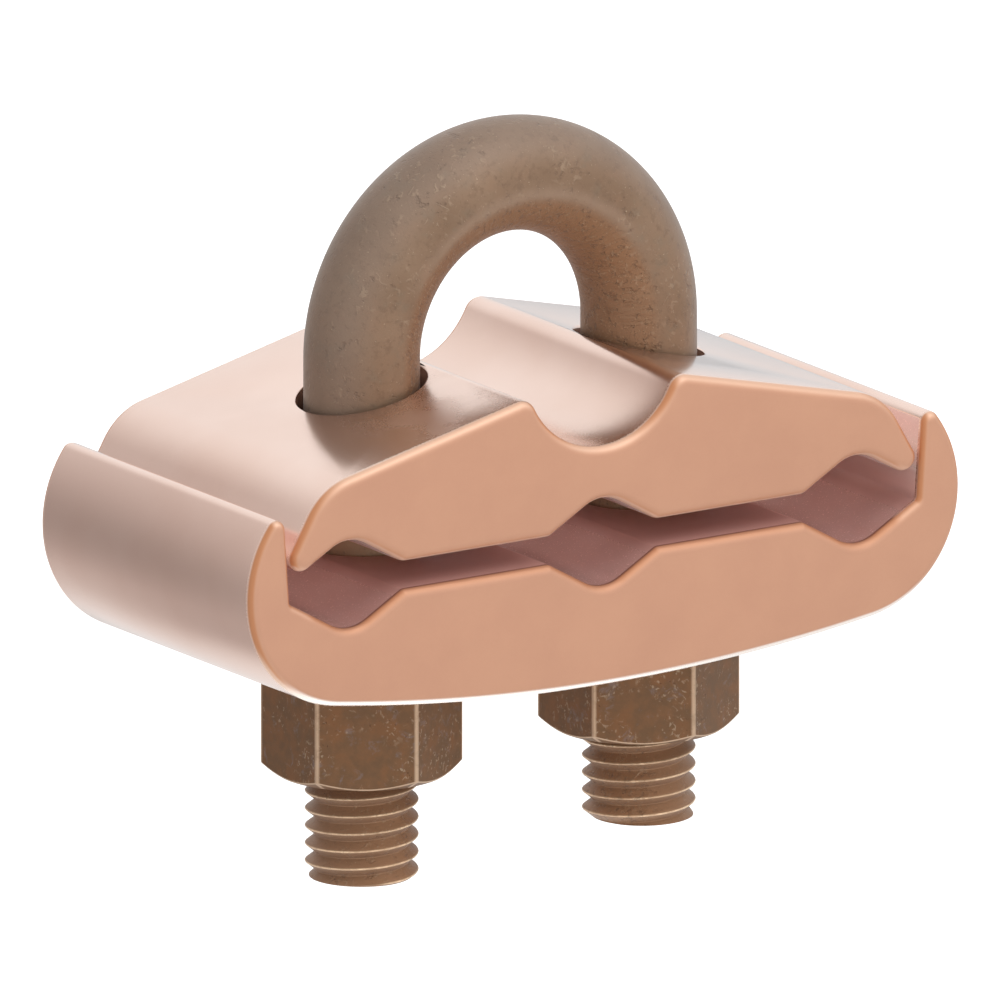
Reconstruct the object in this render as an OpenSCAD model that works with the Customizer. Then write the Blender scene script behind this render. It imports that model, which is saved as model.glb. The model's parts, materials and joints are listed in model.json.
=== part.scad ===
// Pipe grounding connector: a U-bolt draws a saddle and a hooked keeper together.
// The saddle's upper groove bears on a round rod or pipe under the bend of the U-bolt,
// and three V channels between saddle and keeper grip cables that run beside it.
// Origin on the axis of the clamped rod at mid width, +X along the length,
// +Y along the rod and the cables, +Z up towards the bend. Millimetres.

/* [Rod seat] */
// Radius of the rod groove on top of the saddle
groove_r = 9.8; // [8.5:0.05:10.8]
// Gap between a seated rod and the inside of the bend
bend_gap = 0.05; // [0.05:0.05:6]

/* [U-bolt] */
// Diameter of the round bar
bar_d = 12.7; // [11:0.1:13.5]
// Distance between the axes of the two legs
leg_span = 36; // [34:0.5:40]
// Amount by which the thread crests are smaller than the bar
thread_relief = 0.3; // [0.1:0.05:0.8]
// Length of thread on each leg, measured from its end
thread_l = 32; // [26:1:40]
// Length of the left leg that shows below its nut
left_tail_l = 11.6; // [6:0.1:16]
// Length of the right leg that shows below its nut
right_tail_l = 10.1; // [6:0.1:16]
// Chamfer on the end of each leg
leg_chamfer = 0.4; // [0.2:0.1:2]

/* [Nuts] */
// Width of a nut across its flats
nut_af = 19.05; // [17:0.05:22]
// Height of a nut
nut_h = 11.2; // [8:0.1:14]
// Slope of the chamfers on the corners of a nut
nut_chamfer_angle = 30; // [20:1:40]
// Radial running clearance between a nut and the thread crests
thread_clearance = 0.05; // [0.02:0.01:0.1]

/* [Clamp bodies] */
// Width of saddle and keeper along the rod
body_w = 41.8; // [30:0.2:60]
// Radial clearance round each leg in saddle and keeper
leg_clearance = 0.8; // [0.4:0.05:1.2]
// Gap between the flat lands of saddle and keeper at rest
land_gap = 3.1; // [2.2:0.1:5]

/* [Cable channels] */
// Width of a channel at the lands
channel_w = 14; // [12:0.2:16]
// Slope of the channel walls
channel_slope = 30; // [25:1:35]
// Radius at the bottom of a channel
channel_r = 4.6; // [3:0.1:5.5]
// Width of the land between the middle channel and an outer one
land_w = 19; // [17:0.2:22]

/* [Saddle] */
// Height from the lands to the bottom of the rod groove
saddle_web_h = 9.25; // [7.5:0.05:12]
// Height from the lands to the sloping top, measured at the leg axes
saddle_leg_h = 14; // [12:0.1:16]
// Slope of the top on either side
saddle_slope = 13.2; // [8:0.2:18]
// Radius of the crests beside the rod groove
crest_r = 2; // [1.5:0.1:3]
// Radius of the shoulder at the end of the sloping top
shoulder_r = 8; // [5:0.5:11]
// Steepness of the flank between shoulder and tip
flank_slope = 60; // [50:1:70]
// Radius of the tip that sits inside the keeper's hook
tip_r = 1.5; // [1.3:0.05:2]
// Reach of the tip beyond the middle of the outer channel
tip_reach = 7.65; // [7:0.05:9]
// Rounding of the edges round both end faces
saddle_edge_r = 1.2; // [0.4:0.1:1.4]

/* [Keeper] */
// Height from the lands to the lowest point of the bowed underside
keeper_h = 14.5; // [12:0.1:18]
// Radius of the bowed underside
bow_r = 235; // [180:5:400]
// Radius of the round ends
end_r = 13.45; // [12:0.05:15]
// Clearance between the saddle's tip and the hook
hook_clearance = 0.45; // [0.3:0.05:1]
// Thickness of the hook beside the saddle's tip
hook_t = 5.1; // [4.2:0.1:7]
// Lean of the hook's inner wall
hook_draft = 4; // [1:0.5:6]
// Radius along the top of the hook
hook_tip_r = 1.15; // [0.9:0.05:1.6]
// Radius at the foot of the hook's inner wall
hook_root_r = 0.6; // [0.3:0.1:1]
// Rounding of the edges round both end faces
keeper_edge_r = 0.95; // [0.3:0.05:1.2]
// Diameter of the flat pads under the keeper that the nuts bear on
pad_d = 24; // [22:0.5:27]
// Depth of the pads below the lowest point of the bow
pad_drop = 0.15; // [0.1:0.05:1]

/* [Hidden] */
$fn = 96;

// Largest distance between an arc and its chords
chord_gap = 0.01;
// Number of strips in the rounding of an end face's edge
edge_strips = 4;
// Lap of an edge's bead into the body behind it
bead_lap = 0.15;
// Amount by which a bead lies inside the body that it laps
bead_inset = 0.02;
// Radius of the roughed-out hollow that the rod groove is cut from, relative to the groove
rough_ratio = 1.45;
// Angle by which an arc stops short of the arc that it touches
touch_trim = 2;
// Angle by which a crest stops short of the groove before the groove is cut
crest_trim = 12;
// Margin that the rounding of an edge keeps from the smallest radius beside it
edge_margin = 0.2;
// Overlap of cutting solids beyond the faces that they cut
cut_over = 5;

bar_r = bar_d / 2;
leg_x = leg_span / 2;
bend_z = groove_r + bend_gap - (leg_x - bar_r);
thread_d = bar_d - thread_relief;
hole_r = bar_r + leg_clearance;

channel_x = channel_w + land_w;
channel_depth = channel_w / 2 * tan(channel_slope);
saddle_land_z = -groove_r - saddle_web_h;
keeper_land_z = saddle_land_z - land_gap;
keeper_low_z = keeper_land_z - keeper_h;
nut_seat_z = keeper_low_z - pad_drop;
nut_low_z = nut_seat_z - nut_h;

saddle_half_l = channel_x + tip_reach;
keeper_half_l = saddle_half_l + hook_clearance + hook_t;

// Unit vector at angle a
function dir(a) = [cos(a), sin(a)];

// Angle of a vector
function bearing(v) = atan2(v[1], v[0]);

// Point whose distances along the directions a and b are ha and hb
function where(a, ha, b, hb) =
    [ha * sin(b) - hb * sin(a), hb * cos(a) - ha * cos(b)] / sin(b - a);

// An outline is a list of arcs, joined by straight sides, counter-clockwise from the front.
// Each arc is [centre, radius, first angle, last angle, change of radius and shift of centre
// when the outline shrinks by 1 mm].
function round_out(c, r, from, to) = [c, r, from, to, -1, [0, 0]];
function round_in(c, r, from, to) = [c, r, from, to, 1, [0, 0]];

// A sharp corner between sides that run at the angles a and b
function corner(p, a, b) =
    [p, 0, 0, 0, 0, dir((a + b) / 2 + 90) / cos((b - a) / 2)];

// The same arcs on the other side of the middle plane, in outline order
function other_side(arcs) = [
    for (i = [len(arcs) - 1 : -1 : 0])
        let (e = arcs[i])
        [[-e[0][0], e[0][1]], e[1], 180 - e[3], 180 - e[2], e[4], [-e[5][0], e[5][1]]]
];

// Number of chords that an arc needs
function chords(e) =
    e[1] == 0 ? 0 : ceil(abs(e[3] - e[2]) / (2 * acos(1 - chord_gap / e[1])));

// Points of an outline whose sides have all moved inwards by d
function outline_points(arcs, d) = [
    for (e = arcs)
        let (n = chords(e))
        for (i = [0 : n])
            let (a = n == 0 ? 0 : e[2] + (e[3] - e[2]) * i / n)
            e[0] + d * e[5] + (e[1] + d * e[4]) * dir(a)
];

// Outline in X and Z, shrunk by d, drawn out along Y to the width w
module bar_of(arcs, d, w) {
    rotate([90, 0, 0])
        linear_extrude(height = w, center = true)
            polygon(outline_points(arcs, d));
}

// Bead that rounds the edge round the front face of a clamp body: a quarter round all along
// the outline, with its inner corner lapped into the solid behind it
module front_bead(arcs, edge_r) {
    quarter = [
        for (i = [0 : edge_strips])
            let (t = 90 * i / edge_strips)
            [edge_r * (1 - sin(t)), edge_r * (1 - cos(t))]
    ];
    lap = edge_r + bead_lap;
    section = concat(quarter, [[0, lap], [lap, lap]]);
    points = [
        for (s = section)
            for (p = outline_points(arcs, s[0] + bead_inset))
                [p[0], s[1] - body_w / 2, p[1]]
    ];
    m = len(section);
    n = len(points) / m;
    faces = [
        for (j = [0 : m - 1])
            for (i = [0 : n - 1])
                let (next_j = (j + 1) % m, next_i = (i + 1) % n)
                [j * n + i, j * n + next_i, next_j * n + next_i, next_j * n + i]
    ];
    polyhedron(points, faces, convexity = 8);
}

// Both rounded ends of a clamp body, and the core between their end faces
module rounded_ends(arcs, edge_r) {
    bar_of(arcs, edge_r + bead_inset, body_w);
    front_bead(arcs, edge_r);
    mirror([0, 1, 0])
        front_bead(arcs, edge_r);
}

// Saddle outline

// Height above the lands of the centre of a channel's bottom radius
channel_centre_h = channel_depth - channel_r / cos(channel_slope);

function saddle_channel(x) =
    round_in([x, saddle_land_z + channel_centre_h], channel_r,
        90 + channel_slope, 90 - channel_slope);

top_normal = 90 - saddle_slope;
top_reach = dir(top_normal) * [leg_x, saddle_land_z + saddle_leg_h];

tip_x = saddle_half_l - tip_r;
tip_z = saddle_land_z + channel_depth - (tip_x - channel_x) * tan(channel_slope)
    + tip_r / cos(channel_slope);
tip_centre = [tip_x, tip_z];
flank_normal = 90 - flank_slope;
flank_reach = dir(flank_normal) * tip_centre + tip_r;
shoulder_centre = where(flank_normal, flank_reach - shoulder_r,
    top_normal, top_reach - shoulder_r);

crest_h = top_reach - crest_r;
crest_centre = crest_h * dir(top_normal)
    + sqrt(pow(groove_r + crest_r, 2) - pow(crest_h, 2)) * dir(-saddle_slope);
crest_bearing = bearing(crest_centre);
crest_last = 180 + crest_bearing - crest_trim;
crest_end = crest_centre + crest_r * dir(crest_last);

rough_r = groove_r * rough_ratio;
rough_centre = [0, crest_end[1] + sqrt(pow(rough_r, 2) - pow(crest_end[0], 2))];
rough_first = bearing(crest_end - rough_centre) - touch_trim;

function saddle_side(crest_to) = [
    corner([channel_w / 2, saddle_land_z], -channel_slope, 0),
    corner([channel_w / 2 + land_w, saddle_land_z], 0, channel_slope),
    saddle_channel(channel_x),
    round_out(tip_centre, tip_r, -90 - channel_slope, flank_normal),
    round_out(shoulder_centre, shoulder_r, flank_normal, top_normal),
    round_out(crest_centre, crest_r, top_normal, crest_to)
];

function saddle_outline(crest_to, hollow) =
    let (side = saddle_side(crest_to))
    concat([saddle_channel(0)], side, [hollow], other_side(side));

// The finished outline, and the outline before the rod groove is cut
groove_first = crest_bearing - touch_trim;
saddle_finished = saddle_outline(180 + crest_bearing,
    round_in([0, 0], groove_r, groove_first, -180 - groove_first));
saddle_rough = saddle_outline(crest_last,
    round_in(rough_centre, rough_r, rough_first, -180 - rough_first));

// Keeper outline

function keeper_channel(x) =
    round_in([x, keeper_land_z - channel_centre_h], channel_r,
        channel_slope - 90, -channel_slope - 90);

bow_centre = [0, keeper_low_z + bow_r];
end_x = keeper_half_l - end_r;
end_centre = [end_x, bow_centre[1] - sqrt(pow(bow_r - end_r, 2) - pow(end_x, 2))];
bow_half = asin(end_x / (bow_r - end_r));

hook_normal = 180 - hook_draft;
hook_foot = [saddle_half_l + hook_clearance, tip_z];
hook_reach = dir(hook_normal) * hook_foot;
hook_tip_h = hook_reach - hook_tip_r - dir(hook_normal) * end_centre;
hook_tip_centre = end_centre + hook_tip_h * dir(hook_normal)
    + sqrt(pow(end_r - hook_tip_r, 2) - pow(hook_tip_h, 2)) * dir(hook_normal - 90);
hook_bearing = bearing(hook_tip_centre - end_centre);

wall_normal = 90 + channel_slope;
wall_reach = dir(wall_normal) * [channel_x, keeper_land_z - channel_depth];
root_centre = where(hook_normal, hook_reach + hook_root_r, wall_normal, wall_reach + hook_root_r);

keeper_side = [
    round_out(end_centre, end_r, bow_half - 90 + touch_trim, hook_bearing - touch_trim),
    round_out(hook_tip_centre, hook_tip_r, hook_bearing, hook_normal),
    round_in(root_centre, hook_root_r, -hook_draft, channel_slope - 90),
    keeper_channel(channel_x),
    corner([channel_w / 2 + land_w, keeper_land_z], 180 - channel_slope, 180),
    corner([channel_w / 2, keeper_land_z], 180, 180 + channel_slope)
];

keeper_outline = concat(
    [round_out(bow_centre, bow_r, -90 - bow_half, bow_half - 90)],
    keeper_side,
    [keeper_channel(0)],
    other_side(keeper_side)
);

// Sub-parts

module at_legs() {
    for (x = [-leg_x, leg_x]) {
        translate([x, 0, 0])
            children();
    }
}

module leg_holes(low_z, high_z) {
    at_legs()
        translate([0, 0, low_z - cut_over])
            cylinder(h = high_z - low_z + 2 * cut_over, r = hole_r);
}

// One straight leg, turned about its own axis
module leg(x, tail_l) {
    thread_r = thread_d / 2;
    low_z = nut_low_z - tail_l;
    thread_top_z = low_z + thread_l;
    translate([x, 0, 0])
        rotate_extrude()
            polygon([
                [0, low_z],
                [thread_r - leg_chamfer, low_z],
                [thread_r, low_z + leg_chamfer],
                [thread_r, thread_top_z],
                [bar_r, thread_top_z + thread_relief],
                [bar_r, bend_z],
                [0, bend_z]
            ]);
}

module u_bolt() {
    color("#86705c") {
        leg(-leg_x, left_tail_l);
        leg(leg_x, right_tail_l);
        translate([0, 0, bend_z])
            rotate([90, 0, 0])
                rotate_extrude(angle = 180)
                    translate([leg_x, 0])
                        circle(d = bar_d);
    }
}

module saddle() {
    edge_r = min(saddle_edge_r, tip_r - edge_margin, crest_r - edge_margin);
    color("#d3a184")
        difference() {
            union() {
                difference() {
                    bar_of(saddle_rough, 0, body_w - 2 * edge_r);
                    rotate([90, 0, 0])
                        cylinder(h = body_w, r = groove_r, center = true);
                }
                rounded_ends(saddle_finished, edge_r);
            }
            leg_holes(saddle_land_z, crest_centre[1] + crest_r);
        }
}

module keeper() {
    edge_r = min(keeper_edge_r, hook_tip_r - edge_margin);
    pad_top_z = keeper_low_z + keeper_h / 2;
    color("#cd9a7e")
        difference() {
            union() {
                bar_of(keeper_outline, 0, body_w - 2 * edge_r);
                rounded_ends(keeper_outline, edge_r);
                at_legs()
                    translate([0, 0, nut_seat_z])
                        cylinder(h = pad_top_z - nut_seat_z, d = pad_d);
            }
            leg_holes(nut_seat_z, keeper_land_z);
        }
}

// Hexagon nut with a corner towards the front, its corners chamfered at top and bottom
module nut(x) {
    corner_r = nut_af / sqrt(3);
    flat_r = nut_af / 2;
    chamfer_h = (corner_r - flat_r) * tan(nut_chamfer_angle);
    color("#6e5644")
        translate([x, 0, nut_low_z])
            difference() {
                intersection() {
                    rotate([0, 0, 90])
                        cylinder(h = nut_h, r = corner_r, $fn = 6);
                    rotate_extrude()
                        polygon([
                            [0, 0],
                            [flat_r, 0],
                            [corner_r, chamfer_h],
                            [corner_r, nut_h - chamfer_h],
                            [flat_r, nut_h],
                            [0, nut_h]
                        ]);
                }
                translate([0, 0, -cut_over])
                    cylinder(h = nut_h + 2 * cut_over, r = thread_d / 2 + thread_clearance);
            }
}

module nut_left() {
    nut(-leg_x);
}

module nut_right() {
    nut(leg_x);
}

u_bolt();
saddle();
keeper();
nut_left();
nut_right();
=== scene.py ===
# Looks of the pipe grounding connector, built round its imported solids.
# Metres throughout, in the frame of the solids: origin on the axis of the clamped rod,
# +X along the clamp bodies, +Y along the rod and the cables, +Z towards the bend of the U-bolt.
# Angles are written in degrees, and the finishes measure in millimetres.
import json
import math
from collections import namedtuple

import bmesh
import bpy
import numpy as np
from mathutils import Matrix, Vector


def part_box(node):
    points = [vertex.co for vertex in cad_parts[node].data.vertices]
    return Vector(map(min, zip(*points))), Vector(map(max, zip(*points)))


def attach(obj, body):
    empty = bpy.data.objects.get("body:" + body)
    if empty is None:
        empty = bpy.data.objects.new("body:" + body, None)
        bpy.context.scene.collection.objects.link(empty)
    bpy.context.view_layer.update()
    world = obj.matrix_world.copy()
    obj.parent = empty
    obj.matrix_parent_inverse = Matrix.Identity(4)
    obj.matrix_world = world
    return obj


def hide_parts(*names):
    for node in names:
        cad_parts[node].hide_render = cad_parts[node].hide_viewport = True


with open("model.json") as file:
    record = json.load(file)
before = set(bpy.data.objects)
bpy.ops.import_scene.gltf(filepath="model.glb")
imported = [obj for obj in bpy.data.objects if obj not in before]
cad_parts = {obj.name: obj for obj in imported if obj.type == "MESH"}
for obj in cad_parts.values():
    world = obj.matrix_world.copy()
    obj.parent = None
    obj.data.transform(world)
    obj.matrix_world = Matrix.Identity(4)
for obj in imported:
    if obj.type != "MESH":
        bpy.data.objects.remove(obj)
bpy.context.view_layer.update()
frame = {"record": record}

MM = 0.001

# Places measured on the solids
bolt_low, bolt_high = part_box("u_bolt")
bar_r = bolt_high.y
leg_x = bolt_high.x - bar_r
bend_z = bolt_high.z - bolt_high.x
saddle_low, saddle_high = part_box("saddle")
keeper_low, keeper_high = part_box("keeper")
nut_low, nut_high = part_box("nut_right")
half_w = saddle_high.y
mounts = {mount["name"]: mount for mount in frame["record"]["mounts"]}
groove_r = mounts["rod_seat"]["dims"]["r_mm"] * MM
channel_x = mounts["channel_right"]["pos_m"][0]

# Sizes of the clamp bodies
land_gap = 3.1 * MM
leg_clearance = 0.8 * MM
hole_r = bar_r + leg_clearance
channel_w = 14 * MM
channel_slope = 30
channel_r = 4.6 * MM
saddle_leg_h = 14 * MM
saddle_slope = 13.2
crest_r = 2 * MM
shoulder_r = 8 * MM
flank_slope = 60
tip_r = 1.5 * MM
keeper_h = 14.5 * MM
bow_r = 235 * MM
end_r = 13.45 * MM
hook_clearance = 0.45 * MM
hook_draft = 4
hook_lean = 0.35 * MM
hook_tip_r = 1.15 * MM
hook_root_r = 0.6 * MM
pad_r = 12 * MM
saddle_edge_r = 1.2 * MM
keeper_edge_r = 1.05 * MM
eased_margin = 0.1 * MM
rim_r = 0.25 * MM

# Places that follow from these sizes
channel_depth = channel_w / 2 * math.tan(math.radians(channel_slope))
channel_centre_h = channel_depth - channel_r / math.cos(math.radians(channel_slope))
saddle_land_z = saddle_low.z
keeper_land_z = saddle_land_z - land_gap
mid_gap_z = saddle_land_z - land_gap / 2
land_ends = (channel_w / 2, channel_x - channel_w / 2)

# Sizes of the thread and the nuts
pitch = 25.4 / 13 * MM
thread_l = 32 * MM
right_end_drop = 10.1 * MM
leg_ends = {-1: bolt_low.z, 1: nut_low.z - right_end_drop}
thread_starts = {-1: 0.38, 1: 0.5}
thread_crest_r = bar_r - 0.15 * MM
thread_depth = 1.02 * MM
crest_share = 0.06
root_share = 0.12
runout = 1.5 * pitch
end_ease = 0.25 * MM
nut_chamfer_slope = 30
nut_flat_inset = 0.25 * MM
thread_clearance = 0.05 * MM
nut_bore_r = thread_crest_r + thread_clearance
nut_countersink = 0.7 * MM
nut_edge_r = 0.16 * MM

# Fold on the inner side of the bend; its angles are from the outer side, round the bar
fold_turn = 104
fold_width = 9
fold_rise = 0.12 * MM
fold_sink = 0.14 * MM
fold_steepness = 2.5

# Fineness of the meshes
chord_gap = 0.003 * MM
edge_steps = 7
bar_columns = 128
bend_rings = 120
hole_columns = 128
nut_columns = 192
rim_segments = 3
nut_edge_segments = 2
merge_gap = 1e-7
thread_merge_gap = 1e-6
wall_gap = 0.01 * MM
sharp_turn = 35
nut_sharp_turn = 30
nut_edge_turn = 18

# Room that the shaping of the meshes needs
tangent_trim = 1
least_channel_rise = 0.05
spare_turns = 3
bore_overrun = 5 * MM
envelope_margin = 1 * MM

# Zones of the finishes, in millimetres: where each change starts and where it ends
sandy_x = -12
sandy_off_x = (8, 18)
sandy_y = (-14, 12)
# Top of the painted light in the saddle's channels
channel_top = (5, 7)
land_ease = 0.8
# Where the painted shade towards the ends of the keeper's channels sets in
end_shade_y = (8, 19)
inner_rise = (5.5, 7)
inner_x = (37.5, 39)
# Depth below the gap where the painted white highlight under the keeper fades in
underside_drop = (9, 12.5)
gripped_rise = (7, 8)
thread_top = (24, 26)
crest_depth = (0.10, 0.02)


# Node trees

class Shade:
    """A socket whose arithmetic adds Math nodes to its tree."""

    def __init__(self, nodes, socket):
        self.nodes = nodes
        self.socket = socket

    def math(self, operation, *others):
        return self.nodes.add("Math", {"operation": operation}, dict(enumerate((self, *others))))

    def after(self, operation, first):
        return self.nodes.add("Math", {"operation": operation}, {0: first, 1: self})

    def __add__(self, other):
        return self.math("ADD", other)

    def __radd__(self, other):
        return self.after("ADD", other)

    def __sub__(self, other):
        return self.math("SUBTRACT", other)

    def __rsub__(self, other):
        return self.after("SUBTRACT", other)

    def __mul__(self, other):
        return self.math("MULTIPLY", other)

    def __rmul__(self, other):
        return self.after("MULTIPLY", other)

    def __truediv__(self, other):
        return self.math("DIVIDE", other)

    def __pow__(self, other):
        return self.math("POWER", other)

    def __neg__(self):
        return self.after("SUBTRACT", 0)

    def __abs__(self):
        return self.math("ABSOLUTE")


class Nodes:
    """The node tree of one material or of the world."""

    def __init__(self, tree):
        self.tree = tree
        tree.nodes.clear()

    def add(self, kind, settings, sockets, output=0):
        made = self.tree.nodes.new("ShaderNode" + kind)
        for name, value in settings.items():
            setattr(made, name, value)
        for name, value in sockets.items():
            if isinstance(value, Shade):
                self.tree.links.new(value.socket, made.inputs[name])
            else:
                made.inputs[name].default_value = value
        return Shade(self, made.outputs[output]) if made.outputs else None

    def smooth(self, value, low, high):
        """0 below low, 1 above high, and a smooth step between."""
        return self.add("MapRange", {"interpolation_type": "SMOOTHSTEP"},
                        {"Value": value, "From Min": low, "From Max": high})

    def noise(self, place, scale, detail, roughness, distortion=0.0):
        return self.add("TexNoise", {}, {"Vector": place, "Scale": scale, "Detail": detail,
                                         "Roughness": roughness, "Distortion": distortion})

    def blend(self, share, first, second):
        """Colour that goes from the first to the second as share goes from 0 to 1."""
        return self.add("Mix", {"data_type": "RGBA"}, {0: share, 6: first, 7: second}, 2)

    def layers(self, base, *coats):
        """Colour under coats that are laid on in turn, each a share and its sRGB values."""
        for share, values in coats:
            base = self.blend(share, base, colour(*values))
        return base

    def millimetres(self):
        """Place on the piece in millimetres."""
        place = self.add("TexCoord", {}, {}, "Object")
        return self.add("VectorMath", {"operation": "MULTIPLY"}, {0: place, 1: [1 / MM] * 3})

    def part(self, vector, axis):
        return self.add("SeparateXYZ", {}, {"Vector": vector}, axis)

    def normal(self, axis):
        return self.part(self.add("TexCoord", {}, {}, "Normal"), axis)

    def bump(self, height, depth):
        return self.add("Bump", {}, {"Height": height, "Distance": depth, "Strength": 1.0})

    def surface(self, **sockets):
        named = {name.replace("_", " "): value for name, value in sockets.items()}
        shader = self.add("BsdfPrincipled", {}, named)
        self.add("OutputMaterial", {}, {"Surface": shader})


def length(first, second):
    """Length of a vector of two sockets."""
    return (first * first + second * second) ** 0.5


def bell(value):
    """1 where the socket is 0, and falling smoothly to 0 on both sides."""
    return (-(value * value)).math("EXPONENT")


def colour(red, green, blue):
    """Linear colour of sRGB values from 0 to 255."""
    def linear(value):
        value /= 255
        return value / 12.92 if value <= 0.04045 else ((value + 0.055) / 1.055) ** 2.4
    return (linear(red), linear(green), linear(blue), 1)


def new_material(name):
    material = bpy.data.materials.new(name)
    material.use_nodes = True
    return material, Nodes(material.node_tree)


# Finishes

def above_gap(n, place):
    """Height above the middle of the gap between saddle and keeper."""
    return n.part(place, "Z") - mid_gap_z / MM


def drawn_bronze():
    """Pale pink copper alloy of the outer surfaces, satin, with a sandy grain beside the groove."""
    material, n = new_material("drawn_bronze")
    place = n.millimetres()
    x, y = (n.part(place, axis) for axis in "XY")
    clouds = n.noise(place, 0.06, 3, 0.5)
    grain = n.noise(place, 6.0, 3, 0.6)
    near_groove = (1 - n.smooth(abs(x - sandy_x), *sandy_off_x)) * (1 - n.smooth(y, *sandy_y))
    sandy = n.smooth(n.noise(place, 0.14, 4, 0.6), 0.35, 0.6) * near_groove
    base = n.blend(n.smooth(clouds, 0.35, 0.65), colour(241, 214, 201), colour(245, 220, 208))
    rough = 0.19 + 0.10 * sandy + 0.05 * n.smooth(grain, 0.4, 0.7)
    n.surface(Base_Color=base, Metallic=1.0, Roughness=rough,
              Normal=n.bump(grain * (0.25 + 0.75 * sandy), 0.010 * MM))
    return material


def channel_bronze():
    """Mauve of the channels, smooth and a little dusty, paler in the saddle by painted light. It has
    painted shade on the lands between the channels and, in the keeper, towards their ends."""
    material, n = new_material("channel_bronze")
    place = n.millimetres()
    clouds = n.noise(place, 0.15, 3, 0.5)
    grain = n.noise(place, 5.0, 3, 0.6)
    rise = above_gap(n, place)
    half_gap = land_gap / MM / 2
    # Painted light on the saddle's channels, which lie in shade
    saddle_channel_light = n.smooth(rise, 0, half_gap) * (1 - n.smooth(rise, *channel_top))
    # Painted shade on the lands, in the narrow gap between saddle and keeper; the lands are also
    # rougher
    land = 1 - n.smooth(abs(rise), half_gap, half_gap + land_ease)
    # Painted shade towards the ends of the keeper's channels
    end_shade = n.smooth(abs(n.part(place, "Y")), *end_shade_y) * n.smooth(-rise, 0, half_gap)
    base = n.layers(
        n.blend(n.smooth(clouds, 0.3, 0.7), colour(244, 206, 198), colour(248, 213, 206)),
        (saddle_channel_light, (254, 234, 228)),
        (land * 0.7, (218, 172, 162)),
        (end_shade * 0.65, (170, 120, 111)),
        (n.smooth(grain, 0.66, 0.78) * 0.3, (248, 224, 217)))
    rough = 0.22 + 0.06 * n.smooth(grain, 0.4, 0.7) + 0.35 * land
    n.surface(Base_Color=base, Metallic=0.25, Roughness=rough,
              Normal=n.bump(grain, 0.002 * MM))
    return material


def shaded_bore_bronze():
    """Darker, mottled brown in the leg holes, a painted shade."""
    material, n = new_material("shaded_bore_bronze")
    mottle = n.noise(n.millimetres(), 0.8, 4, 0.6)
    base = n.blend(n.smooth(mottle, 0.3, 0.7), colour(192, 152, 134), colour(206, 168, 150))
    n.surface(Base_Color=base, Metallic=0.5, Roughness=0.4 + 0.15 * mottle,
              Normal=n.bump(mottle, 0.01 * MM))
    return material


def cut_bronze():
    """Warm peach of the cut end faces. Their eased edges turn from the pink of the outer surfaces
    to orange at the ends, a painted reflection of darker surroundings, and are paler where they
    face up, which is painted light. Along the channels of the keeper they carry painted shade,
    along those of the saddle a painted pale highlight, and under the keeper a painted white
    highlight on top of their real metallic shine."""
    material, n = new_material("cut_bronze")
    place = n.millimetres()
    facing = abs(n.normal("Y"))
    sideways = abs(n.normal("X"))
    downward = -n.normal("Z")
    clouds = n.noise(place, 0.12, 4, 0.55)
    grain = n.noise(place, 5.0, 4, 0.6)
    rise = above_gap(n, place)
    inner = ((1 - n.smooth(abs(rise), *inner_rise))
             * (1 - n.smooth(abs(n.part(place, "X")), *inner_x)))
    edge = 1 - n.smooth(facing, 0.72, 0.98)
    skin = 1 - n.smooth(facing, 0.1, 0.4)
    outer_skin = skin * (1 - inner)
    # Painted pale highlight on eased edges that face down, along the saddle's channels
    downward_edge_highlight = n.smooth(downward, 0.3, 0.6) * (1 - n.smooth(facing, 0.55, 0.8))
    # Painted white highlight on the eased edges under the keeper, which are also really metallic
    bright = n.smooth(downward, 0.2, 0.5) * n.smooth(-rise, *underside_drop)
    face = n.blend(n.smooth(clouds, 0.3, 0.7), colour(203, 151, 123), colour(207, 155, 126))
    # Painted light: eased edges that face up are paler than those by the channels
    level = n.blend(inner, colour(230, 186, 158), colour(206, 151, 118))
    # Painted reflection: eased edges that face sideways turn orange
    eased = n.blend(n.smooth(sideways, 0.15, 0.7), level, colour(204, 139, 97))
    base = n.layers(
        n.blend(edge, face, eased),
        # painted shade on the eased edges along the channels
        (skin * inner, (140, 94, 80)),
        (outer_skin, (244, 219, 206)),
        (downward_edge_highlight * 0.8, (246, 212, 188)),
        (bright, (253, 243, 235)))
    shine = bright.math("MAXIMUM", outer_skin)
    rough = 0.42 + 0.08 * n.smooth(grain, 0.3, 0.7) - 0.2 * shine
    n.surface(Base_Color=base, Metallic=0.4 + 0.55 * shine, Roughness=rough,
              Normal=n.bump(grain, 0.002 * MM))
    return material


def strokes(n, place, lean, scale, patches):
    """Share of short soft strokes that lean by an angle, in patches."""
    leaning = n.add("VectorRotate", {"rotation_type": "Y_AXIS"},
                    {"Vector": place, "Angle": math.radians(lean)})
    drawn_out = n.add("VectorMath", {"operation": "MULTIPLY"}, {0: leaning, 1: (1, 1, 0.35)})
    off_line = abs(n.noise(drawn_out, scale, 1, 0.5) - 0.5)
    lines = 1 - n.smooth(off_line, 0.01, 0.07)
    bits = n.smooth(n.noise(place, 1.2 * scale, 2, 0.5), 0.56, 0.66)
    return lines * bits * patches


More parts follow.
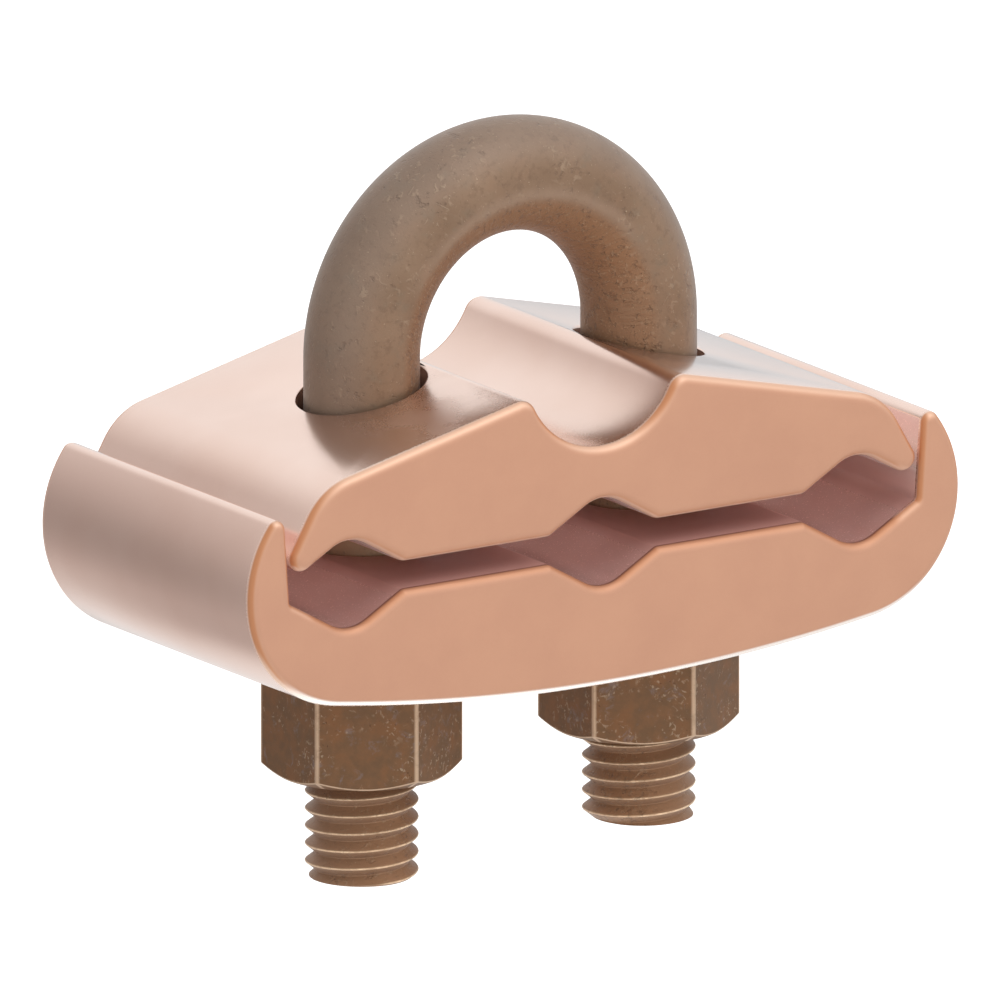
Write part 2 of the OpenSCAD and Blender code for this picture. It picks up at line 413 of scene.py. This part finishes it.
def bolt_bronze():
    """Brown oxidised bronze of the bar, scuffed, with a painted grey sheen outside the bend, more
    orange and wrinkled inside it, with painted shade there on the left and a painted highlight
    along the fold, and paler where the clamp bodies cover it; the thread is a warmer brown,
    lightened by painted light, with pale crests that are partly wear and partly a painted highlight."""
    material, n = new_material("bolt_bronze")
    place = n.millimetres()
    x, y, z = (n.part(place, axis) for axis in "XYZ")

    # Zones: inward is counted from the bar's axis to the middle of the bend
    above = (z - bend_z / MM).math("MAXIMUM", 0.0)
    inward = leg_x / MM - length(x, above)
    inside = n.smooth(inward, 1.0, 2.6)
    # Outer side of the bend, where a painted grey sheen lies
    outside = n.smooth(-inward, 1.5, 5.5)
    bent = n.smooth(above, 0.5, 9.0)
    # Left side, where painted shade darkens the inside of the bend
    left = n.smooth(-x, 4, 14)
    gripped = 1 - n.smooth(abs(z - saddle_land_z / MM), *gripped_rise)
    threaded = 1 - n.smooth(z - leg_ends[1] / MM, *thread_top)
    from_axis = length(abs(x) - leg_x / MM, y)
    # Pale thread crests: partly wear, partly a painted highlight
    crest = n.smooth(from_axis, *(thread_crest_r / MM - depth for depth in crest_depth)) * threaded

    # Marks
    clouds = n.noise(place, 0.11, 3, 0.5)
    blotches = n.noise(place, 0.32, 3, 0.6)
    mottle = n.noise(place, 0.9, 5, 0.65)
    grain = n.noise(place, 4.0, 4, 0.65)
    patches = n.smooth(n.noise(place, 0.14, 3, 0.55), 0.44, 0.58)
    pale = strokes(n, place, 50, 0.8, patches).math("MAXIMUM", strokes(n, place, -35, 0.9, patches))
    dents = n.smooth(n.noise(place, 0.9, 3, 0.6), 0.58, 0.72) * patches
    specks = n.smooth(n.noise(place, 4.5, 2, 0.5), 0.70, 0.76)
    pits = n.smooth(n.noise(place, 1.5, 4, 0.65), 0.56, 0.68)
    flakes = n.smooth(n.noise(place, 2.4, 3, 0.65), 0.57, 0.66) * inside
    along_bend = above.math("ARCTAN2", x) * (leg_x / MM)
    across_wrinkles = n.add("CombineXYZ", {}, {0: along_bend, 1: y * 0.25, 2: inward * 0.25})
    wrinkles = n.smooth(n.noise(across_wrinkles, 0.8, 3, 0.6), 0.45, 0.7) * inside
    # Painted highlight along the fold inside the bend
    ridge_highlight = bell((inward + blotches - 1.6) / 0.8) * n.smooth(above, 7, 14)

    base = n.layers(
        n.blend(n.smooth(clouds, 0.3, 0.7), colour(129, 101, 77), colour(143, 115, 91)),
        (n.smooth(blotches, 0.5, 0.72) * 0.35, (148, 114, 88)),
        (n.smooth(-blotches, -0.46, -0.30) * 0.35, (124, 110, 92)),
        (n.smooth(mottle, 0.5, 0.68) * 0.4, (112, 85, 64)),
        # painted grey sheen outside the bend
        (outside * 0.45, (146, 129, 117)),
        (inside * (0.45 + 0.35 * bent), (148, 107, 73)),
        # painted shade inside the bend on the left
        (inside * left * 0.5, (124, 84, 54)),
        # painted highlight along the fold
        (ridge_highlight * (0.2 + 0.4 * mottle), (174, 146, 124)),
        (gripped, (216, 186, 152)))
    # Painted light: thread flanks that face down are a little paler
    under = n.smooth(-n.normal("Z"), 0.1, 0.5)
    flank = n.blend(under, colour(164, 123, 90), colour(168, 127, 96))
    # The thread's warm brown is lightened as painted light against the shade of its grooves
    base = n.layers(
        n.blend(threaded * (0.9 - 0.3 * mottle), base, flank),
        (flakes * 0.45, (184, 148, 114)),
        (pits * (0.1 + 0.15 * inside), (90, 62, 42)),
        (pale * 0.24, (190, 166, 140)),
        (specks * 0.5, (206, 184, 158)),
        # pale crests, partly wear and partly a painted highlight
        (crest * (0.55 + 0.4 * n.smooth(mottle, 0.4, 0.6)), (250, 220, 184)))
    rough = 0.5 + 0.14 * mottle - 0.16 * crest
    relief = (grain * 0.3 + mottle * 0.6 + pale * 0.5 - dents * 1.2
              - pits * (0.2 + 0.8 * inside) + flakes * 0.5 + wrinkles)
    n.surface(Base_Color=base, Metallic=0.3 + 0.4 * crest, Roughness=rough, Specular_IOR_Level=0.3,
              Coat_Weight=0.3, Coat_Roughness=0.45, Sheen_Weight=0.15, Sheen_Roughness=0.4,
              Sheen_Tint=(0.85, 0.93, 1, 1), Normal=n.bump(relief, 0.09 * MM))
    return material


def worn_edges(n, place):
    """Share of wear along the upright edges of a nut and where its flats meet the chamfers."""
    across = abs(n.part(place, "X")) - leg_x / MM
    along = n.part(place, "Y")
    half_flat = math.pi / 6
    from_flat = along.math("ARCTAN2", across).math("PINGPONG", half_flat)
    upright = 1 - n.smooth((half_flat - from_flat) * (nut_high.y / MM), 0.12, 0.40)
    tilt = abs(n.normal("Z"))
    rims = n.smooth(tilt, 0.08, 0.25) * (1 - n.smooth(tilt, 0.6, 0.85))
    off_bore = n.smooth(length(across, along) - nut_bore_r / MM, 1, 2)
    return upright.math("MAXIMUM", rims * off_bore)


def nut_bronze():
    """Dark warm brown bronze of the nuts, scuffed and stained, worn bright along the edges."""
    material, n = new_material("nut_bronze")
    place = n.millimetres()
    mottle = n.noise(place, 0.7, 5, 0.65)
    blotches = n.noise(place, 0.3, 4, 0.6)
    grain = n.noise(place, 4.0, 4, 0.65)
    patches = n.smooth(n.noise(place, 0.2, 3, 0.55), 0.42, 0.58)
    pale = strokes(n, place, 55, 1.3, patches).math("MAXIMUM", strokes(n, place, -30, 1.5, patches))
    pits = n.smooth(n.noise(place, 2.4, 3, 0.6), 0.62, 0.72) * patches
    stains = n.smooth(n.noise(place, 0.45, 5, 0.7, 0.6), 0.56, 0.68)
    worn = worn_edges(n, place) * (0.7 + 0.3 * n.smooth(mottle, 0.3, 0.5))
    base = n.layers(
        n.blend(n.smooth(mottle, 0.35, 0.7), colour(116, 87, 62), colour(130, 94, 65)),
        (n.smooth(blotches, 0.48, 0.66) * 0.5, (138, 94, 60)),
        (stains * 0.45, (136, 124, 122)),
        (pale * 0.5, (194, 172, 146)),
        (pits * 0.6, (66, 46, 32)),
        (worn, (202, 172, 144)))
    rough = 0.46 + 0.16 * mottle - 0.10 * worn
    relief = grain * 0.3 + mottle * 0.6 + pale * 0.4 - pits * 0.6
    n.surface(Base_Color=base, Metallic=0.3, Roughness=rough, Specular_IOR_Level=0.25,
              Normal=n.bump(relief, 0.05 * MM))
    return material


# Outlines: lists of arcs joined by straight sides, counter-clockwise from the front

Arc = namedtuple("Arc", "centre radius first last grow")


def toward(degrees):
    return np.array((math.cos(math.radians(degrees)), math.sin(math.radians(degrees))))


def bearing(vector):
    return math.degrees(math.atan2(vector[1], vector[0]))


def meeting(a, reach_a, b, reach_b):
    """Point whose distances along the directions a and b are given."""
    (ca, sa), (cb, sb) = toward(a), toward(b)
    crossed = np.array((reach_a * sb - reach_b * sa, reach_b * ca - reach_a * cb))
    return crossed / (ca * sb - sa * cb)


def round_out(centre, radius, first, last):
    return Arc(np.array(centre), radius, first, last, -1)


def round_in(centre, radius, first, last):
    return Arc(np.array(centre), radius, first, last, 1)


def eased_corner(point, a, b, radius):
    """Small round between sides that run at the angles a and b."""
    inward = toward((a + b) / 2 + 90) / math.cos(math.radians((b - a) / 2))
    return round_out(np.array(point) + inward * radius, radius, a - 90, b - 90)


def other_side(arcs):
    """The same arcs on the other side of the middle plane, in outline order."""
    flip = np.array((-1, 1))
    return [Arc(arc.centre * flip, arc.radius, 180 - arc.last, 180 - arc.first, arc.grow)
            for arc in reversed(arcs)]


def outline_points(arcs, shrink):
    """Points of an outline, drawn in by a distance."""
    points = []
    for arc in arcs:
        step = math.degrees(2 * math.acos(1 - chord_gap / arc.radius))
        count = max(2, math.ceil(abs(arc.last - arc.first) / step))
        for angle in np.linspace(arc.first, arc.last, count + 1):
            points.append(arc.centre + (arc.radius + arc.grow * shrink) * toward(angle))
    return np.array(points)


def tip_height(tip_x):
    """Height of the centre of the saddle's tip, which rests on the wall of the outer channel."""
    slope = math.radians(channel_slope)
    return (saddle_land_z + channel_depth - (tip_x - channel_x) * math.tan(slope)
            + tip_r / math.cos(slope))


def saddle_outline():
    ease = saddle_edge_r + eased_margin

    def channel(x):
        return round_in((x, saddle_land_z + channel_centre_h), channel_r,
                        90 + channel_slope, 90 - channel_slope)

    top_normal = 90 - saddle_slope
    top_reach = toward(top_normal) @ (leg_x, saddle_land_z + saddle_leg_h)
    tip_x = saddle_high.x - tip_r
    tip = np.array((tip_x, tip_height(tip_x)))
    flank_normal = 90 - flank_slope
    flank_reach = toward(flank_normal) @ tip + tip_r
    shoulder = meeting(flank_normal, flank_reach - shoulder_r, top_normal, top_reach - shoulder_r)
    crest_h = top_reach - crest_r
    crest = (crest_h * toward(top_normal)
             + math.sqrt((groove_r + crest_r) ** 2 - crest_h ** 2) * toward(-saddle_slope))
    crest_bearing = bearing(crest)
    side = [
        eased_corner((land_ends[0], saddle_land_z), -channel_slope, 0, ease),
        eased_corner((land_ends[1], saddle_land_z), 0, channel_slope, ease),
        channel(channel_x),
        round_out(tip, tip_r, -90 - channel_slope, flank_normal),
        round_out(shoulder, shoulder_r, flank_normal, top_normal),
        round_out(crest, crest_r, top_normal, 180 + crest_bearing),
    ]
    groove_start = crest_bearing - tangent_trim
    groove = round_in((0, 0), groove_r, groove_start, -180 - groove_start)
    return [channel(0), *side, groove, *other_side(side)]


def keeper_outline():
    ease = keeper_edge_r + eased_margin

    def channel(x):
        return round_in((x, keeper_land_z - channel_centre_h), channel_r,
                        channel_slope - 90, -channel_slope - 90)

    bow = np.array((0, keeper_land_z - keeper_h + bow_r))
    end_x = keeper_high.x - end_r
    end = np.array((end_x, bow[1] - math.sqrt((bow_r - end_r) ** 2 - end_x ** 2)))
    bow_half = math.degrees(math.asin(end_x / (bow_r - end_r)))
    hook_normal = 180 - hook_draft
    hook_foot = (saddle_high.x + hook_clearance, tip_height(saddle_high.x - tip_r))
    hook_reach = toward(hook_normal) @ hook_foot
    tip_h = hook_reach - hook_tip_r - toward(hook_normal) @ end
    tip = (end + tip_h * toward(hook_normal)
           + math.sqrt((end_r - hook_tip_r) ** 2 - tip_h ** 2) * toward(hook_normal - 90))
    hook_bearing = bearing(tip - end)
    wall_normal = 90 + channel_slope
    wall_reach = toward(wall_normal) @ (channel_x, keeper_land_z - channel_depth)
    root = meeting(hook_normal, hook_reach + hook_root_r, wall_normal, wall_reach + hook_root_r)
    side = [
        round_out(end, end_r, bow_half - 90 + tangent_trim, hook_bearing - tangent_trim),
        round_out(tip, hook_tip_r, hook_bearing, hook_normal),
        round_in(root, hook_root_r, -hook_draft, channel_slope - 90),
        channel(channel_x),
        eased_corner((land_ends[1], keeper_land_z), 180 - channel_slope, 180, ease),
        eased_corner((land_ends[0], keeper_land_z), 180, 180 + channel_slope, ease),
    ]
    under = round_out(bow, bow_r, -90 - bow_half, bow_half - 90)
    return [under, *side, channel(0), *other_side(side)]


# Meshes

# Order of the finishes of a clamp body
CUT, DRAWN, CHANNEL, BORE = range(4)


def new_piece(name, points, faces, materials, face_materials=None):
    mesh = bpy.data.meshes.new(name)
    mesh.from_pydata([tuple(p) for p in points], [], faces)
    for material in materials:
        mesh.materials.append(material)
    if face_materials is not None:
        mesh.polygons.foreach_set("material_index", face_materials)
    piece = bpy.data.objects.new(name, mesh)
    bpy.context.scene.collection.objects.link(piece)
    return piece


def clean(piece, merge, sharp):
    """Merges points that coincide, turns the faces outwards, and shades all edges smoothly but
    those that turn by more than the angle sharp."""
    b = bmesh.new()
    b.from_mesh(piece.data)
    bmesh.ops.remove_doubles(b, verts=b.verts, dist=merge)
    bmesh.ops.recalc_face_normals(b, faces=b.faces)
    b.to_mesh(piece.data)
    b.free()
    piece.data.polygons.foreach_set("use_smooth", [True] * len(piece.data.polygons))
    piece.data.set_sharp_from_angle(angle=math.radians(sharp))


def grid_faces(rows, columns):
    """Quads between rows of points that each close on themselves."""
    return [(r * columns + c, r * columns + (c + 1) % columns,
             (r + 1) * columns + (c + 1) % columns, (r + 1) * columns + c)
            for r in range(rows - 1) for c in range(columns)]


def turned(name, x, profile, columns, material):
    """Solid turned about an upright axis at x, from a profile of radii and heights, from below."""
    turns = np.linspace(0, 2 * math.pi, columns, endpoint=False)
    points = [(x + r * math.cos(t), r * math.sin(t), z) for r, z in profile for t in turns]
    faces = grid_faces(len(profile), columns)
    last = (len(profile) - 1) * columns
    faces.append(tuple(reversed(range(columns))))
    faces.append(tuple(range(last, last + columns)))
    return new_piece(name, points, faces, [material])


def apply_modifiers(piece):
    graph = bpy.context.evaluated_depsgraph_get()
    whole = bpy.data.meshes.new_from_object(piece.evaluated_get(graph))
    piece.modifiers.clear()
    piece.data = whole


def carve(piece, tool, operation):
    """Joins a tool solid to a piece, cuts it away or keeps only what lies in it, and removes it."""
    cut = piece.modifiers.new("carve", "BOOLEAN")
    cut.operation = operation
    cut.solver = "EXACT"
    cut.material_mode = "TRANSFER"
    cut.object = tool
    apply_modifiers(piece)
    bpy.data.objects.remove(tool)


def flatten_shading(piece):
    """Keeps large flat faces flat in their shading, up to their eased edges."""
    even = piece.modifiers.new("even", "WEIGHTED_NORMAL")
    even.weight = 100
    even.keep_sharp = True
    apply_modifiers(piece)


def drawn_body(name, arcs, edge_r, inner_side, inner_reach, finishes):
    """Outline drawn out along Y, with rounded edges round both end faces. The surfaces that look
    to the inner side, 1 for up and -1 for down, and lie within the inner reach of the middle have
    the finish of the channels."""
    turns = np.radians(np.linspace(0, 90, edge_steps))
    front = [(edge_r * (1 - math.sin(t)), edge_r * (1 - math.cos(t)) - half_w) for t in turns]
    rings = front + [(shrink, -y) for shrink, y in reversed(front)]
    points = []
    for shrink, y in rings:
        points += [(p[0], y, p[1]) for p in outline_points(arcs, shrink)]
    columns = len(points) // len(rings)
    faces = grid_faces(len(rings), columns)
    outline = outline_points(arcs, 0)
    side = np.roll(outline, -1, axis=0) - outline
    rise = -side[:, 0] / np.hypot(side[:, 0], side[:, 1])
    in_channel = (rise * inner_side > least_channel_rise) & (abs(outline[:, 0]) < inner_reach)
    drawn_finishes = [CHANNEL if inner else DRAWN for inner in in_channel]
    face_materials = [CUT] * len(faces)
    long_faces = (edge_steps - 1) * columns
    face_materials[long_faces:long_faces + columns] = drawn_finishes
    last = (len(rings) - 1) * columns
    faces += [tuple(range(columns)), tuple(reversed(range(last, last + columns)))]
    face_materials += [CUT, CUT]
    return new_piece(name, points, faces, finishes, face_materials)


def ease_rims(piece):
    """Rounds the edges where the leg holes leave a body."""
    b = bmesh.new()
    b.from_mesh(piece.data)

    def on_wall(point):
        return abs(math.hypot(abs(point.x) - leg_x, point.y) - hole_r) < wall_gap

    walls = {face for face in b.faces if all(on_wall(v.co) for v in face.verts)}
    rims = [edge for edge in b.edges if sum(face in walls for face in edge.link_faces) == 1]
    bmesh.ops.bevel(b, geom=rims, offset=rim_r, segments=rim_segments, profile=0.5, affect="EDGES",
                    clamp_overlap=False, material=DRAWN)
    b.to_mesh(piece.data)
    b.free()


def bore_legs(piece, low, high, material):
    profile = [(hole_r, low - bore_overrun), (hole_r, high + bore_overrun)]
    for x in (-leg_x, leg_x):
        carve(piece, turned("hole", x, profile, hole_columns, material), "DIFFERENCE")


def make_saddle(finishes):
    reach = saddle_high.x - tip_r
    piece = drawn_body("clamp_saddle", saddle_outline(), saddle_edge_r, -1, reach, finishes)
    clean(piece, merge_gap, sharp_turn)
    bore_legs(piece, saddle_low.z, saddle_high.z, finishes[BORE])
    ease_rims(piece)
    clean(piece, merge_gap, sharp_turn)
    return piece


def make_keeper(finishes):
    reach = saddle_high.x + hook_clearance + hook_lean
    piece = drawn_body("clamp_keeper", keeper_outline(), keeper_edge_r, 1, reach, finishes)
    clean(piece, merge_gap, sharp_turn)
    pad = [(pad_r, keeper_low.z), (pad_r, keeper_low.z + keeper_h / 2)]
    for x in (-leg_x, leg_x):
        carve(piece, turned("pad", x, pad, hole_columns, finishes[DRAWN]), "UNION")
    bore_legs(piece, keeper_low.z, keeper_land_z, finishes[BORE])
    ease_rims(piece)
    clean(piece, merge_gap, sharp_turn)
    return piece


def thread_radius(height, turn):
    """Radius at a height above the leg's end, where the helix has made so many turns."""
    share = height / pitch - turn
    off_crest = abs((share % 1) - 0.5) * 2
    flank = (off_crest - crest_share) / (1 - crest_share - root_share)
    depth = thread_depth * min(1, max(0, flank))
    fade = min(1, max(0, (thread_l - height) / runout))
    radius = bar_r + (thread_crest_r - depth - bar_r) * fade
    return min(radius, thread_crest_r - end_ease + height)


def thread_rows():
    """Places across one turn at which the thread's profile has a point, in shares of the pitch."""
    crest, root = crest_share / 2, root_share / 2
    flank = 0.5 - crest - root
    up = [0, root, root + flank / 3, root + flank * 2 / 3, 0.5 - crest]
    return up + [0.5] + [1 - share for share in reversed(up[1:])]


def threaded_leg(side, start):
    """Points and faces of one threaded leg end. Its rows follow the helix."""
    rows = thread_rows()
    turns = math.ceil(thread_l / pitch) + spare_turns
    heights = [(whole + share - spare_turns / 2) * pitch for whole in range(turns) for share in rows]
    points = []
    for row in heights:
        for c in range(bar_columns):
            angle = 2 * math.pi * c / bar_columns
            turn = side * c / bar_columns + start
            height = min(max(row + turn * pitch, 0), thread_l)
            r = thread_radius(height, turn)
            points.append((side * (leg_x + r * math.cos(angle)), r * math.sin(angle),
                           leg_ends[side] + height))
    faces = []
    shift = side * len(rows)
    for r in range(len(heights) - 1):
        for c in range(bar_columns - 1):
            first = r * bar_columns + c
            faces.append((first, first + 1, first + bar_columns + 1, first + bar_columns))
        if 0 <= r + shift and r + 1 + shift < len(heights):
            first = r * bar_columns + bar_columns - 1
            closing = (r + shift) * bar_columns
            faces.append((first, closing, closing + bar_columns, first + bar_columns))
    return points, faces


def fold(turn, angle):
    """Height of the fold at a turn of the bend and an angle round the bar."""
    share = math.sin(turn) ** 2
    from_outside = 180 - abs(math.degrees(angle) % 360 - 180)
    off = (from_outside - fold_turn) / fold_width
    lip = math.exp(-off * off)
    step = 1 / (1 + math.exp(-fold_steepness * off))
    return share * (fold_rise * lip - fold_sink * step)


def bent_bar():
    """Points and faces of the plain bar, from one leg round the bend to the other."""
    stations = [((leg_x, 0, leg_ends[1] + thread_l), 0)]
    for step in range(bend_rings + 1):
        turn = math.pi * step / bend_rings
        stations.append(((leg_x * math.cos(turn), 0, bend_z + leg_x * math.sin(turn)), turn))
    stations.append(((-leg_x, 0, leg_ends[-1] + thread_l), math.pi))
    points = []
    for centre, turn in stations:
        for c in range(bar_columns):
            angle = 2 * math.pi * c / bar_columns
            r = bar_r + fold(turn, angle)
            out = r * math.cos(angle)
            points.append((centre[0] + out * math.cos(turn), r * math.sin(angle),
                           centre[2] + out * math.sin(turn)))
    return points, grid_faces(len(stations), bar_columns)


def make_bolt(bronze):
    points, faces = bent_bar()
    for side, start in thread_starts.items():
        leg_points, leg_faces = threaded_leg(side, start)
        base = len(points)
        points += leg_points
        faces += [tuple(base + i for i in face) for face in leg_faces]
    piece = new_piece("bent_bolt", points, faces, [bronze])
    clean(piece, thread_merge_gap, sharp_turn)
    b = bmesh.new()
    b.from_mesh(piece.data)
    ends = [edge for edge in b.edges if edge.is_boundary]
    bmesh.ops.holes_fill(b, edges=ends, sides=0)
    b.to_mesh(piece.data)
    b.free()
    clean(piece, merge_gap, sharp_turn)
    return piece


def make_nut(name, x, bronze):
    corner_r = nut_high.y
    face_r = nut_high.x - leg_x - nut_flat_inset
    low, high = nut_low.z, nut_high.z
    turns = [math.pi * corner / 3 for corner in range(6)]
    points = [(x + corner_r * math.sin(t), corner_r * math.cos(t), z)
              for z in (low, high) for t in turns]
    faces = grid_faces(2, 6) + [tuple(range(6)), tuple(range(11, 5, -1))]
    piece = new_piece(name, points, faces, [bronze])
    clean(piece, merge_gap, nut_sharp_turn)
    reach = corner_r + envelope_margin
    rise = (reach - face_r) * math.tan(math.radians(nut_chamfer_slope))
    envelope = [(face_r, low), (reach, low + rise), (reach, high - rise), (face_r, high)]
    carve(piece, turned("envelope", x, envelope, nut_columns, bronze), "INTERSECT")
    mouth_r = nut_bore_r + 2 * nut_countersink
    bore = [(mouth_r, low - nut_countersink), (nut_bore_r, low + nut_countersink),
            (nut_bore_r, high - nut_countersink), (mouth_r, high + nut_countersink)]
    carve(piece, turned("bore", x, bore, hole_columns, bronze), "DIFFERENCE")
    b = bmesh.new()
    b.from_mesh(piece.data)
    bmesh.ops.remove_doubles(b, verts=b.verts, dist=merge_gap)
    edge_turn = math.radians(nut_edge_turn)
    edges = [edge for edge in b.edges
             if len(edge.link_faces) == 2 and edge.calc_face_angle(0) > edge_turn]
    bmesh.ops.bevel(b, geom=edges, offset=nut_edge_r, segments=nut_edge_segments, profile=0.5,
                    affect="EDGES", clamp_overlap=False)
    b.to_mesh(piece.data)
    b.free()
    clean(piece, merge_gap, nut_sharp_turn)
    flatten_shading(piece)
    return piece


# The pieces

clamp_finishes = [cut_bronze(), drawn_bronze(), channel_bronze(), shaded_bore_bronze()]
nut_finish = nut_bronze()
dressed = [
    (make_bolt(bolt_bronze()), "u_bolt", "bolt_bronze"),
    (make_saddle(clamp_finishes), "saddle", "clamp_bronze"),
    (make_keeper(clamp_finishes), "keeper", "clamp_bronze"),
    (make_nut("hex_nut_left", -leg_x, nut_finish), "nut_left", "nut_bronze"),
    (make_nut("hex_nut_right", leg_x, nut_finish), "nut_right", "nut_bronze"),
]
for piece, node, slot in dressed:
    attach(piece, node)
    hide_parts(node)


# Stage, light and camera

white = (1, 1, 1, 1)
floor_z = bolt_low.z - 60 * MM
floor_reach = 6.0
floor_grey = (0.8, 0.8, 0.8, 1)
floor_glow = 0.55
sky_light = 0.52

# Card round the object: its form, then where it is grey, and how much
card_columns = 96
card_lift = 1 * MM
card_inner_r = 0.07
card_r = 0.2
card_top_z = 0.3
card_warm_r = (card_inner_r, 0.14)
card_warm_z = (-0.03, 0.27)
card_warm_turn = math.radians(134)
card_warm_narrowness = 11
card_warm_grey = 0.5
card_warm_tint = (1.04, 0.92, 0.88, 1)
card_cool_turn = math.radians(50)
card_cool_narrowness = 8
card_cool_grey = 0.14
card_cool_tint = (0.82, 0.95, 1.04, 1)
card_horizon_z = -0.05
card_horizon_reach = 0.06
card_horizon_grey = 0.15

# Lamps: name, place, power, and whether reflections show it
lamps = [
    ("key", (0.22, -0.42, 0.55), 2.2, True),
    ("fill", (-0.02, -0.55, 0.0), 0.75, True),
    ("back", (0.05, 0.5, 0.2), 1.0, False),
]
lamp_size = 0.5
lamp_aim = Vector((0, 0, -0.02))

# Parallel view from the front left, a little above
view_azimuth = math.radians(-33.42)
view_elevation = math.radians(14.73)
view_aim = Vector((-0.02, 0, -20.34)) * MM
view_width = 1000 / 9.215 * MM
view_distance = 0.5


def seen_rays(n):
    """1 for rays from the camera and for reflected or refracted rays, 0 for other rays."""
    rays = [n.add("LightPath", {}, {}, name)
            for name in ("Is Camera Ray", "Is Glossy Ray", "Is Transmission Ray")]
    return (rays[0] + rays[1] + rays[2]).math("MINIMUM", 1.0)


def pale_floor():
    """Pale floor that looks white to the camera and in reflections, and still takes the shadow."""
    material, n = new_material("pale_floor")
    matt = n.add("BsdfDiffuse", {}, {"Color": floor_grey})
    glow = n.add("Emission", {}, {"Color": white, "Strength": seen_rays(n) * floor_glow})
    both = n.add("AddShader", {}, {0: matt, 1: glow})
    n.add("OutputMaterial", {}, {"Surface": both})
    return material


def make_floor():
    corners = ((-1, -1), (1, -1), (1, 1), (-1, 1))
    points = [(x * floor_reach, y * floor_reach, floor_z) for x, y in corners]
    floor = new_piece("floor", points, [(0, 1, 2, 3)], [pale_floor()])


def card_glow():
    """White, but warm grey behind the left end of the object, from the floor far up, cool behind
    its right end, and a little grey all round near the floor."""
    material, n = new_material("horizon_card")
    place = n.add("TexCoord", {}, {}, "Object")
    x, y, z = (n.part(place, axis) for axis in "XYZ")
    reach = length(x, y)

    def towards(turn, narrowness):
        along = (x * math.cos(turn) + y * math.sin(turn)) / reach
        return (0.5 + 0.5 * along) ** narrowness

    horizon = bell((z - card_horizon_z) / card_horizon_reach)
    cool = horizon * towards(card_cool_turn, card_cool_narrowness)
    fade = n.smooth(reach, *card_warm_r) * (1 - n.smooth(z, *card_warm_z))
    warm = fade * towards(card_warm_turn, card_warm_narrowness)
    glow = 1 - card_warm_grey * warm - card_horizon_grey * horizon - card_cool_grey * cool
    tint = n.blend(warm, n.blend(cool, white, card_cool_tint), card_warm_tint)
    shine = n.add("Emission", {}, {"Color": tint, "Strength": glow})
    n.add("OutputMaterial", {}, {"Surface": shine})
    return material


def make_card():
    """Card on the floor and up round the object that only its reflections show."""
    low = floor_z + card_lift
    profile = ((card_inner_r, low), (card_r, low), (card_r, card_top_z))
    turns = [2 * math.pi * c / card_columns for c in range(card_columns)]
    points = [(r * math.cos(t), r * math.sin(t), z) for r, z in profile for t in turns]
    card = new_piece("horizon_card", points, grid_faces(3, card_columns), [card_glow()])
    card.visible_camera = False
    card.visible_diffuse = False
    card.visible_transmission = False
    card.visible_shadow = False


def light_world():
    """White to the camera and in reflections, softer as a light."""
    world = bpy.data.worlds.new("studio")
    bpy.context.scene.world = world
    world.use_nodes = True
    n = Nodes(world.node_tree)
    strength = sky_light + (1 - sky_light) * seen_rays(n)
    sky = n.add("Background", {}, {"Color": white, "Strength": strength})
    n.add("OutputWorld", {}, {"Surface": sky})


def soft_lamp(name, place, power, reflected):
    lamp = bpy.data.lights.new(name, "AREA")
    lamp.size = lamp_size
    lamp.energy = power
    held = bpy.data.objects.new(name, lamp)
    held.location = place
    held.rotation_euler = (lamp_aim - held.location).to_track_quat("-Z", "Y").to_euler()
    held.visible_glossy = reflected
    bpy.context.scene.collection.objects.link(held)


def make_camera():
    back = Vector((math.sin(view_azimuth) * math.cos(view_elevation),
                   -math.cos(view_azimuth) * math.cos(view_elevation), math.sin(view_elevation)))
    camera = bpy.data.objects.new("camera", bpy.data.cameras.new("camera"))
    camera.data.type = "ORTHO"
    camera.data.ortho_scale = view_width
    camera.location = view_aim + back * view_distance
    camera.rotation_euler = (-back).to_track_quat("-Z", "Y").to_euler()
    bpy.context.scene.collection.objects.link(camera)
    bpy.context.scene.camera = camera


make_floor()
make_card()
light_world()
for lamp in lamps:
    soft_lamp(*lamp)
make_camera()
bpy.context.scene.view_settings.view_transform = "Standard"
